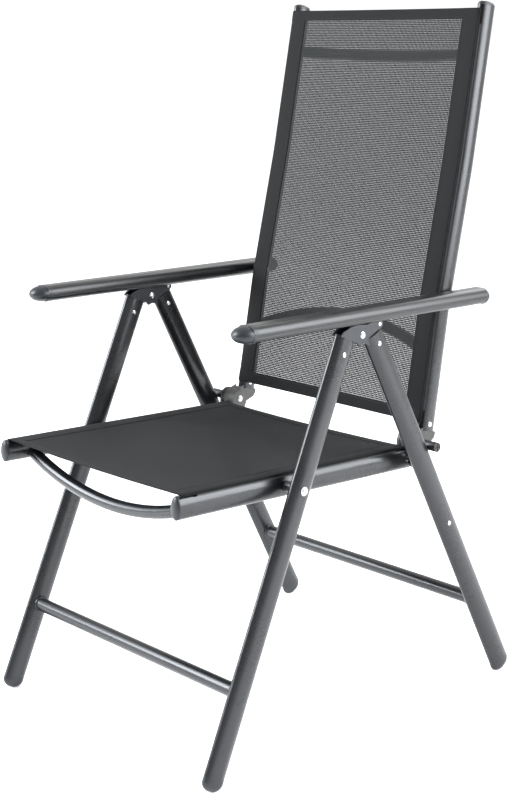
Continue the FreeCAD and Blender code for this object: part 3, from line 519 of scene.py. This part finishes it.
# ---------------------------------------------------------------- camera, light, floor
def look_matrix(place, yaw, pitch, roll):
    """Camera matrix: yaw about +Z from +Y, pitch up, roll about the view direction."""
    forward = Vector((-math.sin(yaw) * math.cos(pitch), math.cos(yaw) * math.cos(pitch), math.sin(pitch)))
    right = Vector((math.cos(yaw), math.sin(yaw), 0.0))
    up = right.cross(forward)
    r = right * math.cos(roll) + up * math.sin(roll)
    u = up * math.cos(roll) - right * math.sin(roll)
    m = Matrix((r, u, -forward)).transposed().to_4x4()
    m.translation = place
    return m


def add_camera():
    data = bpy.data.cameras.new("camera")
    data.sensor_fit = "VERTICAL"
    data.sensor_height = SENSOR
    data.lens = LENS
    data.shift_y = CAMERA_SHIFT
    camera = bpy.data.objects.new("camera", data)
    bpy.context.scene.collection.objects.link(camera)
    camera.matrix_world = look_matrix(CAMERA_PLACE, *(math.radians(a) for a in CAMERA_TURN))
    bpy.context.scene.camera = camera


def softbox(name, place, height, size, power, tint):
    """A rectangular light that faces the middle of the chair at one height."""
    data = bpy.data.lights.new(name, "AREA")
    data.shape = "RECTANGLE"
    data.size, data.size_y = size
    data.energy = power
    data.color = tint
    lamp = bpy.data.objects.new(name, data)
    bpy.context.scene.collection.objects.link(lamp)
    lamp.location = place
    lamp.rotation_euler = (Vector((0.0, 0.0, height)) - Vector(place)).to_track_quat("-Z", "Y").to_euler()


def light_room():
    """A white room, brighter towards the backdrop."""
    world = bpy.data.worlds.new("studio")
    bpy.context.scene.world = world
    world.use_nodes = True
    tree = world.node_tree
    direction = tree.nodes.new("ShaderNodeTexCoord")
    sweep = tree.nodes.new("ShaderNodeVectorMath")
    sweep.operation = "DOT_PRODUCT"
    sweep.inputs[1].default_value = BACKDROP
    tree.links.new(direction.outputs["Generated"], sweep.inputs[0])
    level = tree.nodes.new("ShaderNodeMapRange")
    for socket, value in zip(("From Min", "From Max", "To Min", "To Max"), ROOM_SPAN + ROOM_LIGHT):
        level.inputs[socket].default_value = value
    tree.links.new(sweep.outputs["Value"], level.inputs["Value"])
    tree.links.new(level.outputs[0], tree.nodes["Background"].inputs[1])
    tree.nodes["Background"].inputs[0].default_value = (1.0, 1.0, 1.0, 1.0)


def add_floor():
    """Pale paper with painted light that glows a little around the chair, and painted shade that darkens it
    away from the backdrop.
    """
    half = FLOOR_HALF
    mesh = bpy.data.meshes.new("floor")
    corners = [(-half, -half, 0), (half, -half, 0), (half, half, 0), (-half, half, 0)]
    mesh.from_pydata(corners, [], [(0, 1, 2, 3)])
    floor = bpy.data.objects.new("floor", mesh)
    bpy.context.scene.collection.objects.link(floor)
    g = Graph("floor_paper")
    place = g.position()
    split = g.node("ShaderNodeSeparateXYZ", Vector=place)
    away = g.math("SUBTRACT", g.math("MULTIPLY", split.outputs[0], -BACKDROP[0]),
                  g.math("MULTIPLY", split.outputs[1], BACKDROP[1]))
    # Painted light and shade: lit sets the floor's glow and greys its colour away from the backdrop.
    lit = g.span(away, *FLOOR_FADE, 1.0, 0.0)
    paper = g.mix(g.noise(place, 3.0, 2.0), (0.90, 0.90, 0.90, 1), (0.92, 0.92, 0.92, 1))
    bsdf = g.node("ShaderNodeBsdfPrincipled", Roughness=0.9,
                  Base_Color=g.mix(lit, (0.55, 0.55, 0.55, 1), paper))
    bsdf.inputs["Emission Color"].default_value = (1.0, 1.0, 1.0, 1.0)
    g.feed(bsdf, "Emission Strength", g.math("MULTIPLY", lit, FLOOR_GLOW))
    mesh.materials.append(g.finish(bsdf.outputs[0]))


add_camera()
for box in SOFTBOXES:
    softbox(*box)
light_room()
add_floor()
bpy.context.scene.view_settings.view_transform = "Standard"
